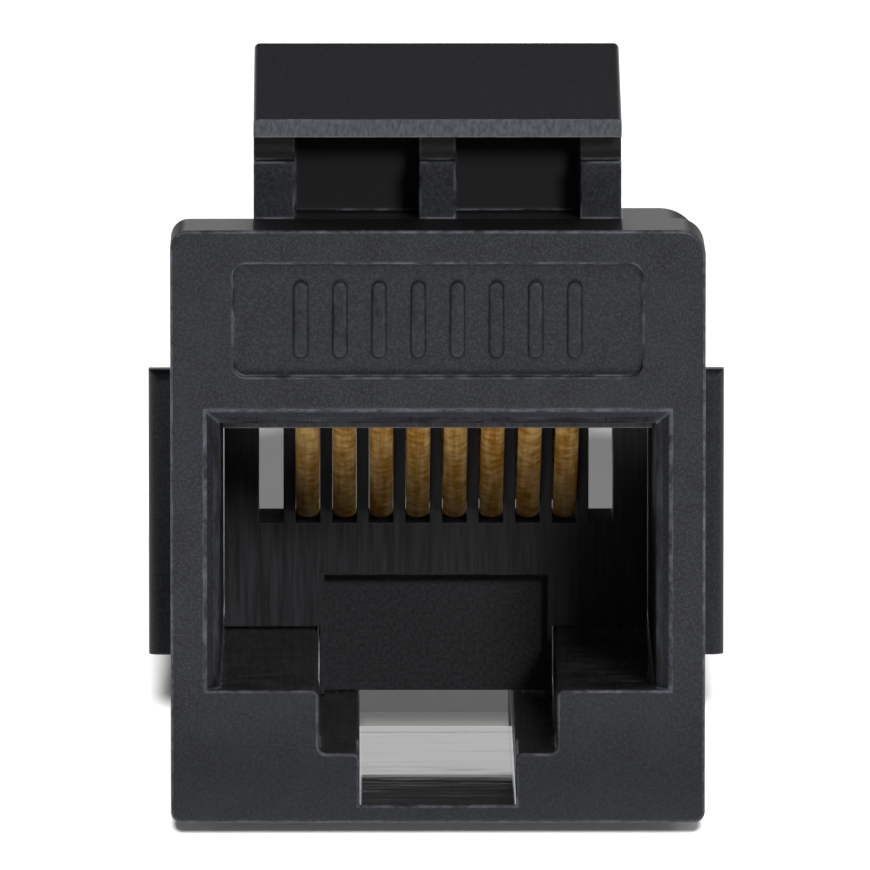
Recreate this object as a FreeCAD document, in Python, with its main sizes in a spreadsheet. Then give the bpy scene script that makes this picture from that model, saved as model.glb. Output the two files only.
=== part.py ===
"""Keystone jack, inline coupler pattern: one modular socket at each end.

Frame: +Z up, the marked face looks towards -Y, +X is right as seen from that face.
The origin lies under the middle of the part, on the plane it rests on.
Each end is drawn by its depth behind its own face and its level below the face's top
edge, so the rear pieces are the front ones' drawings turned half round about Z.
"""
import FreeCAD, Part
import math
import os
import re

import Sketcher

HALF_TURN = FreeCAD.Placement(FreeCAD.Vector(0, 0, 0), FreeCAD.Rotation(FreeCAD.Vector(0, 0, 1), 180))
AS_DRAWN = FreeCAD.Placement()

doc = FreeCAD.newDocument("KeystoneJack")


# ---------------------------------------------------------------- driving dimensions
DIMENSIONS = (
    # face and collar
    ("side_wall", 1.33), ("floor_wall", 0.49), ("catch_drop", 0.9), ("collar_depth", 2.8),
    ("collar_step", 0.07), ("corner_left", 0.5), ("corner_right", 0.7), ("corner_low", 0.3),
    ("stop_depth", 5.2), ("stop_left", 5.0), ("stop_round", 1.1), ("roof_wall", 1.1),
    ("rear_slope_run", 6.0), ("rear_slope_fall", 0.8), ("rear_corner", 0.4),
    # shallow field above the socket
    ("field_width", 11.1), ("field_level", 0.9), ("field_height", 3.1), ("field_corner", 0.35),
    ("field_depth", 0.25),
    # socket for a modular plug, one at each end
    ("socket_width", 11.84), ("socket_level", 5.3), ("socket_height", 7.26), ("socket_depth", 12.0),
    ("socket_bevel", 0.44), ("key_width", 6.48), ("key_height", 1.73), ("key_wall", 2.9),
    ("tab_width", 4.25), ("tab_height", 1.42), ("clip_room_width", 6.56), ("clip_room_drop", 0.17),
    ("nose_wall", 3.4), ("bridge", 1.2), ("notch_round", 0.2), ("edge_round", 0.1),
    # panel catch and panel stops
    ("catch_start", 4.0), ("catch_depth", 8.2), ("panel_gap", 1.7), ("ear_rise", 0.77),
    ("ear_level", 5.07), ("ear_height", 7.93), ("ear_corner", 0.3), ("ear_flat", 0.7),
    ("ear_fall", 0.55),
    # snap tongues that hold the two housings together
    ("ear_bar", 0.45), ("tongue_width", 3.0), ("tongue_thickness", 0.55), ("barb_length", 1.2),
    ("barb_inset", 0.32), ("window_ease", 0.15), ("fit", 0.05),
    # release latch and the pedestal it stands on
    ("latch_width", 10.0), ("post_width", 1.11), ("rib_width", 0.98), ("post_front", 2.75),
    ("post_step", 1.56), ("post_setback", 0.5), ("post_top", 2.24), ("web_front", 4.7),
    ("web_thickness", 0.5), ("flex_gap", 0.05), ("lip_front", 2.2), ("lip_rise", 0.49),
    ("hinge_back", 1.4), ("relief", 0.4), ("arm_start", 5.6), ("catch_rise", 1.2), ("seat_rise", 3.0),
    ("arm_thickness", 1.0), ("thumb_length", 5.1), ("thumb_ridge", 0.22), ("ridge_length", 1.2),
    ("latch_round", 0.15),
    # circuit board
    ("board_inset", 5.0), ("board_thickness", 0.8), ("hole_ease", 0.15),
    # contact blocks
    ("plate_thickness", 0.7), ("plate_bar", 0.325), ("comb_thickness", 1.5), ("slot_height", 4.31),
    ("slot_ease", 0.1), ("groove_ease", 0.11), ("contact_pitch", 1.016), ("hollow_width", 6.2),
    ("hollow_drop", 1.46), ("hollow_depth", 0.8), ("bar_drop", 0.53),
    # spring contacts
    ("wire_width", 0.58), ("wire_thickness", 0.34), ("wire_bend", 0.5), ("nose_radius", 0.45),
    ("tail_inset", 2.6),
    ("tail_stagger", 1.5), ("tail_reach", 0.35), ("tail_room", 0.15), ("tip_gap", 0.06),
    ("tip_round", 0.24), ("tip_inset", 0.3),
)
CONTACTS = 8
SLOTS = CONTACTS + 2

sheet = doc.addObject("Spreadsheet::Sheet", "Dims")
for row, (alias, value) in enumerate(DIMENSIONS, start=1):
    sheet.set(f"A{row}", alias)
    sheet.set(f"B{row}", str(value))
    sheet.setAlias(f"B{row}", alias)
doc.recompute()


def named(text):
    """Put the sheet's name in front of each dimension in an expression."""
    return re.sub(r"[a-z][a-z_]+", lambda word: f"Dims.{word.group()}", text)


def number(text):
    """The present value of an expression, as a plain number."""
    return float(sheet.evalExpression(named(text)))


# ---------------------------------------------------------------- sizes that follow
HALF_LENGTH = "(socket_depth + comb_thickness)"
FACE_WIDTH = "(socket_width + 2 * side_wall)"
BODY_SIDE = f"({FACE_WIDTH} / 2 - collar_step)"
SOCKET_FLOOR = "(socket_level + socket_height)"
KEY_FLOOR = f"({SOCKET_FLOOR} + key_height)"
TAB_FLOOR = f"({KEY_FLOOR} + tab_height)"
CLIP_ROOM_FLOOR = f"({KEY_FLOOR} + clip_room_drop)"
PLATE_TOP = "(socket_level - plate_thickness)"
WIRE_RUN = "(socket_level - plate_thickness / 2)"
BOARD_TOP = f"({PLATE_TOP} - board_thickness)"
CEILING = f"({BOARD_TOP} - tail_reach - tail_room)"
ROOF = f"({CEILING} - roof_wall)"
SLOT_FLOOR = "(socket_level + slot_height)"
STOP_PLANE = "(catch_depth + panel_gap)"
EAR_SIDE = f"({BODY_SIDE} + ear_rise)"
TONGUE_LEVEL = "(ear_level + ear_height / 2)"
TONGUE_TIP = f"({STOP_PLANE} + ear_bar + window_ease)"
GROOVE_START = "(nose_wall + fit + plate_bar)"
NOSE_CENTRE = f"({GROOVE_START} + fit + wire_thickness / 2 + nose_radius)"
LATCH_FOOT = "(post_top + flex_gap)"


def depth(text):
    """Y of a plane this far behind the face."""
    return f"({text}) - {HALF_LENGTH}"


def level(text):
    """Z of a plane this far below the top edge of the face."""
    return f"catch_drop + floor_wall + {TAB_FLOOR} - ({text})"


def above(text):
    """Z of a plane this far above the top edge of the face."""
    return f"{level('0')} + {text}"


# ---------------------------------------------------------------- drawing helpers
def new_body(label):
    body = doc.addObject("PartDesign::Body", label)
    body.Label = label
    return body


def new_sketch(body, name, role, offset="0"):
    """A sketch on one of the body's own planes, moved along the plane's normal."""
    sketch = body.newObject("Sketcher::SketchObject", f"{body.Label}_{name}")
    plane = next(item for item in body.Origin.OriginFeatures if item.Role == role)
    sketch.AttachmentSupport = [(plane, "")]
    sketch.MapMode = "FlatFace"
    sketch.setExpression("AttachmentOffset.Base.z", named(offset))
    return sketch


def across(body, name, back="0"):
    """A sketch seen from the face, drawn in X and Z, this far behind the face."""
    return new_sketch(body, name, "XZ_Plane", f"{HALF_LENGTH} - ({back})")


def hold(sketch, kind, geometry, point, text):
    """Tie one coordinate of a point to an expression."""
    if text == "0":
        axis = -2 if kind == "DistanceX" else -1
        sketch.addConstraint(Sketcher.Constraint("PointOnObject", geometry, point, axis))
        return
    index = sketch.addConstraint(
        Sketcher.Constraint(kind, -1, 1, geometry, point, number(text)))
    sketch.setExpression(f"Constraints[{index}]", named(text))


def outline(sketch, corners):
    """A closed outline of straight lines, each corner tied to two expressions."""
    places = [FreeCAD.Vector(number(u), number(v), 0) for u, v in corners]
    first = sketch.GeometryCount
    count = len(corners)
    for index, start in enumerate(places):
        sketch.addGeometry(Part.LineSegment(start, places[(index + 1) % count]))
    for index, (u, v) in enumerate(corners):
        here = first + index
        after = first + (index + 1) % count
        sketch.addConstraint(Sketcher.Constraint("Coincident", here, 2, after, 1))
        hold(sketch, "DistanceX", here, 1, u)
        hold(sketch, "DistanceY", here, 1, v)


def box_outline(sketch, left, right, low, high):
    outline(sketch, [(left, low), (right, low), (right, high), (left, high)])


def centred(sketch, width, low, high):
    box_outline(sketch, f"-({width}) / 2", f"({width}) / 2", low, high)


def circle(sketch, u, v, diameter):
    place = FreeCAD.Vector(number(u), number(v), 0)
    radius = number(diameter) / 2
    index = sketch.addGeometry(Part.Circle(place, FreeCAD.Vector(0, 0, 1), radius))
    hold(sketch, "DistanceX", index, 3, u)
    hold(sketch, "DistanceY", index, 3, v)
    limit = sketch.addConstraint(Sketcher.Constraint("Diameter", index, 2 * radius))
    sketch.setExpression(f"Constraints[{limit}]", named(diameter))


def volume_of(body):
    return body.Shape.Volume if body.Tip else 0.0


def pad(body, sketch, length, backwards=True):
    """Add material; on a sketch seen from the face, backwards is away from the face."""
    before = volume_of(body)
    feature = body.newObject("PartDesign::Pad", f"{sketch.Name}_pad")
    feature.Profile = sketch
    feature.Reversed = backwards
    feature.setExpression("Length", named(length))
    doc.recompute()
    if body.Shape.Volume <= before:
        raise RuntimeError(f"{feature.Name} adds nothing")
    return feature


def pad_both_ways(body, sketch, width):
    """Add material equally on both sides of the sketch's plane."""
    feature = body.newObject("PartDesign::Pad", f"{sketch.Name}_pad")
    feature.Profile = sketch
    feature.SideType = "Symmetric"
    feature.setExpression("Length", named(width))
    doc.recompute()
    return feature


def pocket(body, sketch, length, towards_face=False, through=False):
    """Cut away; on a sketch seen from the face the cut runs away from the face."""
    before = volume_of(body)
    feature = body.newObject("PartDesign::Pocket", f"{sketch.Name}_cut")
    feature.Profile = sketch
    feature.Reversed = towards_face
    if through:
        feature.SideType = "Symmetric"
    feature.setExpression("Length", named(length))
    doc.recompute()
    if body.Shape.Volume >= before:
        raise RuntimeError(f"{feature.Name} cuts nothing")
    return feature


def row_of(body, feature, spacing, count):
    """Repeat a feature along X."""
    pattern = body.newObject("PartDesign::LinearPattern", f"{feature.Name}_row")
    pattern.Originals = [feature]
    axis = next(item for item in body.Origin.OriginFeatures if item.Role == "X_Axis")
    pattern.Direction = (axis, [""])
    pattern.Mode = "Spacing"
    pattern.Occurrences = count
    pattern.setExpression("Offset", named(spacing))
    body.Tip = pattern
    doc.recompute()
    return pattern


def edges_where(shape, test):
    """Names of the edges whose middle passes the test."""
    return [f"Edge{index}" for index, edge in enumerate(shape.Edges, start=1)
            if test(edge.CenterOfMass)]


def soften(body, name, kind, size, test):
    """Fillet or chamfer the edges that pass the test."""
    base = body.Tip
    names = edges_where(base.Shape, test)
    if not names:
        raise RuntimeError(f"{body.Label}_{name} finds no edge")
    feature = body.newObject(f"PartDesign::{kind}", f"{body.Label}_{name}")
    feature.Base = (base, names)
    feature.setExpression("Radius" if kind == "Fillet" else "Size", named(size))
    doc.recompute()
    return feature


def near(value, text):
    return abs(value - number(text)) < 1e-4


# ---------------------------------------------------------------- housings
def socket(body):
    """The stepped hole for a modular plug, with room behind its front wall for the clip."""
    mouth = across(body, "mouth")
    centred(mouth, "socket_width", level(SOCKET_FLOOR), level("socket_level"))
    pocket(body, mouth, HALF_LENGTH)
    soften(body, "mouth_bevel", "Chamfer", "socket_bevel", lambda p: near(p.y, depth("0"))
           and (near(p.z, level("socket_level")) or near(abs(p.x), "socket_width / 2")))

    key = across(body, "key")
    centred(key, "key_width", level(KEY_FLOOR), level(f"{SOCKET_FLOOR} - fit"))
    pocket(body, key, "key_wall")

    room = across(body, "clip_room", "key_wall")
    centred(room, "clip_room_width", level(CLIP_ROOM_FLOOR), level(f"{SOCKET_FLOOR} - fit"))
    pocket(body, room, f"{HALF_LENGTH} - key_wall")

    nest = across(body, "nest", "nose_wall")
    centred(nest, "socket_width", level("socket_level + fit"), level(CEILING))
    pocket(body, nest, f"{HALF_LENGTH} - nose_wall")


def tab_slot(body):
    """The narrow notch that the plug's clip runs in."""
    slot = across(body, "tab_slot")
    centred(slot, "tab_width", level(TAB_FLOOR), level(f"{KEY_FLOOR} - fit"))
    pocket(body, slot, HALF_LENGTH)


def front_profile(body):
    """Side view of everything behind the collar: roof, ramped lower catch and panel stop."""
    side = new_sketch(body, "side", "YZ_Plane")
    outline(side, [
        (depth("0"), "catch_drop"),
        (depth("catch_start"), "catch_drop"),
        (depth("catch_depth"), "0"),
        (depth("catch_depth"), "catch_drop"),
        (depth(STOP_PLANE), "catch_drop"),
        (depth(STOP_PLANE), "0"),
        (depth(HALF_LENGTH), "0"),
        (depth(HALF_LENGTH), level(ROOF)),
        (depth("0"), level(ROOF)),
    ])
    pad_both_ways(body, side, f"2 * {BODY_SIDE}")


def pedestal(body):
    """Two posts and a rib in front of a thin web: the foot of the release latch."""
    top = above("post_top")
    foot = level(f"{ROOF} + fit")
    web = across(body, "web", "web_front")
    centred(web, "latch_width", foot, top)
    pad(body, web, "web_thickness")
    uprights = (("left_post", "-latch_width / 2", "-latch_width / 2 + post_width"),
                ("rib", "-rib_width / 2", "rib_width / 2"),
                ("right_post", "latch_width / 2 - post_width", "latch_width / 2"))
    for name, left, right in uprights:
        lower = across(body, f"{name}_lower", "post_front")
        box_outline(lower, left, right, foot, above("post_step"))
        pad(body, lower, "web_front + web_thickness - post_front")
        upper = across(body, f"{name}_upper", "post_front + post_setback")
        box_outline(upper, left, right, above("post_step - fit"), top)
        pad(body, upper, "web_front + web_thickness - post_front - post_setback")


def front_housing():
    body = new_body("front_housing")
    front_profile(body)

    stop = across(body, "stop", "collar_depth")
    box_outline(stop, "-stop_left", BODY_SIDE, level(f"{ROOF} + fit"), level("0"))
    pad(body, stop, "stop_depth - collar_depth")
    soften(body, "stop_corner", "Fillet", "stop_round",
           lambda p: near(p.x, BODY_SIDE) and near(p.z, level("0")))

    collar = across(body, "collar")
    centred(collar, FACE_WIDTH, "catch_drop", level("0"))
    pad(body, collar, "collar_depth")
    half = f"{FACE_WIDTH} / 2"
    top_edge = lambda p: near(p.z, level("0"))
    low_edge = lambda p: near(p.z, "catch_drop") and near(abs(p.x), half)
    soften(body, "left_corner", "Fillet", "corner_left",
           lambda p: top_edge(p) and near(p.x, f"-{half}"))
    soften(body, "right_corner", "Fillet", "corner_right",
           lambda p: top_edge(p) and near(p.x, half))
    for name, side in (("low_left", f"-{half}"), ("low_right", half)):
        soften(body, name, "Fillet", "corner_low", lambda p: low_edge(p) and near(p.x, side))
    soften(body, "face_edge", "Fillet", "edge_round", lambda p: near(p.y, depth("0")))

    ears = new_sketch(body, "ears", "YZ_Plane")
    ear_foot, ear_top = level("ear_level + ear_height"), level("ear_level")
    outline(ears, [
        (depth(STOP_PLANE), ear_foot),
        (depth(HALF_LENGTH), ear_foot),
        (depth(HALF_LENGTH), level("ear_level + ear_fall")),
        (depth(f"{STOP_PLANE} + ear_flat"), ear_top),
        (depth(STOP_PLANE), ear_top),
    ])
    pad_both_ways(body, ears, f"2 * {EAR_SIDE}")
    soften(body, "ear_corners", "Fillet", "ear_corner", lambda p: near(p.y, depth(STOP_PLANE))
           and (near(abs(p.x), EAR_SIDE)
                or near(p.z, ear_top) and abs(p.x) > number(BODY_SIDE)))

    pedestal(body)
    socket(body)
    tab_slot(body)
    soften(body, "notch_corners", "Fillet", "notch_round", lambda p: p.y < number(depth("key_wall"))
           and (near(abs(p.x), "key_width / 2")
                and (near(p.z, level(KEY_FLOOR)) or near(p.z, level(SOCKET_FLOOR)))
                or near(abs(p.x), "tab_width / 2") and near(p.z, level(KEY_FLOOR))))
    lip = number(level(SOCKET_FLOOR))
    soften(body, "notch_edge", "Fillet", "edge_round", lambda p: near(p.y, depth("0"))
           and number(level(TAB_FLOOR)) - 0.01 < p.z < lip + 0.01)

    field = across(body, "field")
    centred(field, "field_width", level("field_level + field_height"), level("field_level"))
    pocket(body, field, "field_depth")
    soften(body, "field_corners", "Fillet", "field_corner", lambda p:
           near(abs(p.x), "field_width / 2")
           and (near(p.z, level("field_level")) or near(p.z, level("field_level + field_height"))))

    tongue_room(body)
    return body


def mirrored_box(sketch, sign, inner, outer, low, high):
    """The same box on the left (sign -) or the right of the middle plane."""
    ends = [f"{sign}({inner})", f"{sign}({outer})"]
    if sign:
        ends.reverse()
    box_outline(sketch, ends[0], ends[1], low, high)


def tongue_room(body):
    """Channels inside the ears for the rear housing's tongues, and windows for their barbs."""
    low = level(f"{TONGUE_LEVEL} + tongue_width / 2 + fit")
    high = level(f"{TONGUE_LEVEL} - tongue_width / 2 - fit")
    start = f"{TONGUE_TIP} - window_ease"
    for name, sign in (("left", "-"), ("right", "")):
        channel = across(body, f"{name}_channel", start)
        mirrored_box(channel, sign, f"{BODY_SIDE} - tongue_thickness - fit", f"{BODY_SIDE} + fit",
                     low, high)
        pocket(body, channel, f"{HALF_LENGTH} - ({start})")
        window = across(body, f"{name}_window", start)
        mirrored_box(window, sign, BODY_SIDE, f"{EAR_SIDE} + fit", low, high)
        pocket(body, window, "barb_length + 2 * window_ease")


def snap_tongues(body):
    """Two side tongues whose barbs catch in the windows of the front housing's ears."""
    reach = f"{HALF_LENGTH} - {TONGUE_TIP}"
    for name, sign in (("left", "-"), ("right", "")):
        arm = across(body, f"{name}_tongue", f"{HALF_LENGTH} - fit")
        mirrored_box(arm, sign, f"{BODY_SIDE} - tongue_thickness", BODY_SIDE,
                     level(f"{TONGUE_LEVEL} + tongue_width / 2"),
                     level(f"{TONGUE_LEVEL} - tongue_width / 2"))
        pad(body, arm, f"{reach} + fit")
        barb = new_sketch(body, f"{name}_barb", "XY_Plane", level(TONGUE_LEVEL))
        outline(barb, [
            (f"{sign}({BODY_SIDE} - fit)", reach),
            (f"{sign}({BODY_SIDE})", reach),
            (f"{sign}({EAR_SIDE} - barb_inset)", f"{reach} - barb_length"),
            (f"{sign}({BODY_SIDE} - fit)", f"{reach} - barb_length"),
        ])
        pad_both_ways(body, barb, "tongue_width")


def rear_housing():
    """Plain shell round the second socket, drawn like the front one and turned round."""
    body = new_body("rear_housing")
    eaves = level(f"{ROOF} + rear_slope_fall")
    side = new_sketch(body, "side", "YZ_Plane")
    outline(side, [
        (depth("0"), "0"),
        (depth(HALF_LENGTH), "0"),
        (depth(HALF_LENGTH), level(ROOF)),
        (depth("rear_slope_run"), level(ROOF)),
        (depth("0"), eaves),
    ])
    pad_both_ways(body, side, f"2 * {BODY_SIDE}")
    soften(body, "corners", "Fillet", "rear_corner", lambda p: near(abs(p.x), BODY_SIDE)
           and (near(p.z, "0") or p.z > number(eaves)))
    socket(body)
    tab_slot(body)
    open_slot = across(body, "open_slot")
    centred(open_slot, "tab_width", "-fit", level(f"{TAB_FLOOR} - fit"))
    pocket(body, open_slot, f"{HALF_LENGTH} - bridge")
    snap_tongues(body)
    body.Placement = HALF_TURN
    return body


# ---------------------------------------------------------------- release latch
def release_latch():
    """Ramped latch with its front lip over the posts, a seat for the panel and a thumb tab."""
    body = new_body("release_latch")
    tail = f"({STOP_PLANE} + thumb_length)"
    lip_top = above(f"{LATCH_FOOT} + lip_rise")
    side = new_sketch(body, "side", "YZ_Plane")
    outline(side, [
        (depth("lip_front"), above(LATCH_FOOT)),
        (depth("lip_front + hinge_back"), above(LATCH_FOOT)),
        (depth("arm_start"), above(f"{LATCH_FOOT} + relief")),
        (depth("arm_start"), above("seat_rise - arm_thickness")),
        (depth(tail), above("seat_rise - arm_thickness")),
        (depth(tail), above("seat_rise + thumb_ridge")),
        (depth(f"{tail} - ridge_length"), above("seat_rise + thumb_ridge")),
        (depth(f"{tail} - 2 * ridge_length"), above("seat_rise")),
        (depth("catch_depth"), above("seat_rise")),
        (depth("catch_depth"), above("seat_rise + catch_rise")),
        (depth("lip_front"), lip_top),
    ])
    pad_both_ways(body, side, "latch_width")
    soften(body, "ramp_sides", "Fillet", "latch_round", lambda p: near(abs(p.x), "latch_width / 2")
           and p.z > number(lip_top) and p.y < number(depth("catch_depth - latch_round")))
    return body


# ---------------------------------------------------------------- contact blocks
def contact_block(label, placement):
    """Plate over the socket that carries the wires, and the comb at its back."""
    body = new_body(label)
    side = new_sketch(body, "side", "YZ_Plane")
    outline(side, [
        (depth("nose_wall + fit"), level("socket_level + bar_drop")),
        (depth(GROOVE_START), level("socket_level + bar_drop")),
        (depth(GROOVE_START), level("socket_level")),
        (depth("socket_depth"), level("socket_level")),
        (depth("socket_depth"), level(f"{SOCKET_FLOOR} - fit")),
        (depth(HALF_LENGTH), level(f"{SOCKET_FLOOR} - fit")),
        (depth(HALF_LENGTH), level(PLATE_TOP)),
        (depth("nose_wall + fit"), level(PLATE_TOP)),
    ])
    pad_both_ways(body, side, "socket_width - 2 * fit")

    keel = across(body, "keel", "socket_depth")
    centred(keel, "clip_room_width - 2 * fit", level(f"{CLIP_ROOM_FLOOR} - fit"),
            level(f"{SOCKET_FLOOR} - 2 * fit"))
    pad(body, keel, "comb_thickness")
    hollow = across(body, "hollow", "socket_depth")
    centred(hollow, "hollow_width", level(CLIP_ROOM_FLOOR), level(f"{SLOT_FLOOR} + hollow_drop"))
    pocket(body, hollow, "hollow_depth")

    slot = across(body, "slot", "socket_depth")
    first = f"-{SLOTS - 1} * contact_pitch / 2"
    half_slot = "(wire_width + slot_ease) / 2"
    box_outline(slot, f"{first} - {half_slot}", f"{first} + {half_slot}",
                level(SLOT_FLOOR), level(WIRE_RUN))
    row_of(body, pocket(body, slot, "comb_thickness"), "contact_pitch", SLOTS)

    groove = new_sketch(body, "groove", "XY_Plane", level(WIRE_RUN))
    first = f"-{CONTACTS - 1} * contact_pitch / 2"
    half_groove = "(wire_width + groove_ease) / 2"
    box_outline(groove, f"{first} - {half_groove}", f"{first} + {half_groove}",
                depth(GROOVE_START), depth("socket_depth"))
    cut = pocket(body, groove, "plate_thickness + 2 * fit", through=True)
    row_of(body, cut, "contact_pitch", CONTACTS)
    body.Placement = placement
    return body


# ---------------------------------------------------------------- circuit board
def tail_places():
    """Where the eight solder tails of one end come through the board, in two rows."""
    for index in range(CONTACTS):
        x = f"{2 * index + 1 - CONTACTS} * contact_pitch / 2"
        yield index, x, depth(f"socket_depth - tail_inset + {index % 2} * tail_stagger")


def circuit_board():
    """Joins the two sets of wires above the sockets; one drilled hole per solder tail."""
    body = new_body("circuit_board")
    sheet_outline = new_sketch(body, "outline", "XY_Plane", level(PLATE_TOP))
    box_outline(sheet_outline, "-socket_width / 2 + 2 * fit", "socket_width / 2 - 2 * fit",
                depth("board_inset"), f"-({depth('board_inset')})")
    pad(body, sheet_outline, "board_thickness", backwards=False)
    holes = new_sketch(body, "holes", "XY_Plane", level(BOARD_TOP))
    for _, x, y in tail_places():
        circle(holes, x, y, "wire_width + hole_ease")
    drilled = pocket(body, holes, "board_thickness")
    both = body.newObject("PartDesign::PolarPattern", "circuit_board_both_ends")
    both.Originals = [drilled]
    axis = next(item for item in body.Origin.OriginFeatures if item.Role == "Z_Axis")
    both.Axis = (axis, [""])
    both.Angle = 360
    both.Occurrences = 2
    body.Tip = both
    doc.recompute()
    return body


# ---------------------------------------------------------------- spring contacts
def contact(label, x, tail, placement):
    """One flat wire: solder tail, run under the board, nose, and spring down to the comb."""
    body = new_body(label)
    run = level(WIRE_RUN)
    bend, nose = number("wire_bend"), number("nose_radius")
    tail_y, run_z = number(tail), number(run)
    tail_top = level(f"{BOARD_TOP} - tail_reach")
    nose_y = number(depth(NOSE_CENTRE))
    end = (depth("socket_depth + tip_inset"), level(f"{SLOT_FLOOR} - wire_thickness / 2 - tip_gap"))
    end_y, end_z = number(end[0]), number(end[1])

    # the spring leaves the nose along the tangent that passes through its end
    reach = math.hypot(end_y - nose_y, run_z - nose - end_z)
    fall = math.atan2(run_z - nose - end_z, end_y - nose_y) - math.asin(nose / reach)
    leave = 1.5 * math.pi - fall
    leave_y = nose_y + nose * math.cos(leave)
    leave_z = run_z - nose + nose * math.sin(leave)

    path = new_sketch(body, "path", "YZ_Plane", x)
    up = FreeCAD.Vector(0, 0, 1)
    place = FreeCAD.Vector
    path.addGeometry([
        Part.LineSegment(place(tail_y, number(tail_top), 0), place(tail_y, run_z + bend, 0)),
        Part.ArcOfCircle(Part.Circle(place(tail_y - bend, run_z + bend, 0), up, bend),
                         1.5 * math.pi, 2 * math.pi),
        Part.LineSegment(place(tail_y - bend, run_z, 0), place(nose_y, run_z, 0)),
        Part.ArcOfCircle(Part.Circle(place(nose_y, run_z - nose, 0), up, nose), 0.5 * math.pi, leave),
        Part.LineSegment(place(leave_y, leave_z, 0), place(end_y, end_z, 0)),
    ])
    for first, first_end, second, second_end in ((0, 2, 1, 2), (2, 1, 1, 1), (2, 2, 3, 1), (4, 1, 3, 2)):
        path.addConstraint(Sketcher.Constraint("Tangent", first, first_end, second, second_end))
    path.addConstraint(Sketcher.Constraint("Vertical", 0))
    path.addConstraint(Sketcher.Constraint("Horizontal", 2))
    hold(path, "DistanceX", 0, 1, tail)
    hold(path, "DistanceY", 0, 1, tail_top)
    hold(path, "DistanceY", 2, 2, run)
    hold(path, "DistanceX", 2, 2, depth(NOSE_CENTRE))
    hold(path, "DistanceX", 4, 2, end[0])
    hold(path, "DistanceY", 4, 2, end[1])
    for arc, size in ((1, "wire_bend"), (3, "nose_radius")):
        index = path.addConstraint(Sketcher.Constraint("Radius", arc, number(size)))
        path.setExpression(f"Constraints[{index}]", named(size))

    section = new_sketch(body, "section", "XY_Plane", tail_top)
    box_outline(section, f"{x} - wire_width / 2", f"{x} + wire_width / 2",
                f"{tail} - wire_thickness / 2", f"{tail} + wire_thickness / 2")
    doc.recompute()
    wire = body.newObject("PartDesign::AdditivePipe", f"{label}_wire")
    wire.Profile = section
    wire.Spine = (path, [f"Edge{index + 1}" for index in range(path.GeometryCount)])
    doc.recompute()
    slope = FreeCAD.Vector(0, end_y - leave_y, end_z - leave_z).normalize()
    tip = FreeCAD.Vector(number(x), end_y, end_z)
    soften(body, "tip", "Fillet", "tip_round", lambda p: abs((p - tip).dot(slope)) < 1e-4
           and near(abs(p.x - tip.x), "wire_width / 2"))
    body.Placement = placement
    return body


# ---------------------------------------------------------------- assembly and export
pieces = [front_housing(), rear_housing(), release_latch(), circuit_board()]
for end, placement in (("front", AS_DRAWN), ("rear", HALF_TURN)):
    pieces.append(contact_block(f"{end}_contact_block", placement))
    for index, x, y in tail_places():
        pieces.append(contact(f"{end}_contact_{index + 1}", x, y, placement))
doc.recompute()

for item in doc.Objects:
    if {"Invalid", "Error"} & set(item.State):
        raise RuntimeError(f"{item.Name} failed: {item.State}")
for piece in pieces:
    if piece.Shape.isNull() or not piece.Shape.isValid() or not piece.Shape.Solids:
        raise RuntimeError(f"{piece.Label} has no valid solid")

os.makedirs("parts", exist_ok=True)
for piece in pieces:
    piece.Shape.exportStep(f"parts/{piece.Label}.step")
    box = piece.Shape.BoundBox
    print(f"{piece.Label}: {len(piece.Shape.Solids)} solid, {piece.Shape.Volume:.3f} mm3, "
          f"x {box.XMin:.2f}..{box.XMax:.2f}, y {box.YMin:.2f}..{box.YMax:.2f}, "
          f"z {box.ZMin:.2f}..{box.ZMax:.2f}")
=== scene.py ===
# %% [markdown]
# # A keystone jack in Blender
# The object is a small black coupler that snaps into a wall plate or a patch panel.
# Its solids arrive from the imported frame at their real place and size, in metres.
# This lesson gives them the finish of the real mouldings and wires, adds the small raised
# marks in the field above the socket, and sets up a plain studio round the part.

# %% Load the frame
import math

import bmesh
import bpy
from mathutils import Matrix, Vector


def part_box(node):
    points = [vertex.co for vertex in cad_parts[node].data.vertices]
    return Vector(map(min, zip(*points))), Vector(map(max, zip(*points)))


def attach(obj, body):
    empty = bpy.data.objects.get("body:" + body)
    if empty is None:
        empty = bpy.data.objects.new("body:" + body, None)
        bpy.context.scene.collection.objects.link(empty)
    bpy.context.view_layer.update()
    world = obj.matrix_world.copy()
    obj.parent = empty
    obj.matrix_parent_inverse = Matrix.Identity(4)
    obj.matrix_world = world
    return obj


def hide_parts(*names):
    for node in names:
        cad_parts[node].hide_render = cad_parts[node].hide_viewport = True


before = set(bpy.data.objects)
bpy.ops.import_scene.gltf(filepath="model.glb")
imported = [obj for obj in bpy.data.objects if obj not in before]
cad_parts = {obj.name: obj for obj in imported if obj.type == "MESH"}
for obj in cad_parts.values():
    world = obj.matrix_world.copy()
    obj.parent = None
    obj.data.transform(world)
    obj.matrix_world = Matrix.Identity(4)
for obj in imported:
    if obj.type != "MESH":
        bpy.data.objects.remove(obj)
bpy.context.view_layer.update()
MM = 0.001
print("parts:", len(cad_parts))

# %% [markdown]
# ## Places to work from
# Everything below is placed from the boxes of the CAD nodes, so that the scene follows the
# part. The face is the front of the front housing, and its top edge lies a known height
# over the ground, because the latch's pedestal stands on it.

# %% Measure the main pieces
face_low, face_high = (Vector(corner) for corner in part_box("front_housing"))
latch_low, latch_high = (Vector(corner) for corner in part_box("release_latch"))
block_low, block_high = (Vector(corner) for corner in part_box("front_contact_block"))
FACE_Y = face_low.y
PEDESTAL_HEIGHT = 2.24 * MM
FACE_TOP = face_high.z - PEDESTAL_HEIGHT
print("face at y =", round(FACE_Y / MM, 2), "mm, top edge at z =", round(FACE_TOP / MM, 2), "mm")

# %% [markdown]
# ## Colours
# Hex colours are how a maker's colour card gives them, in sRGB. Blender's sockets want
# linear light, so one function turns one into the other.


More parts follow.
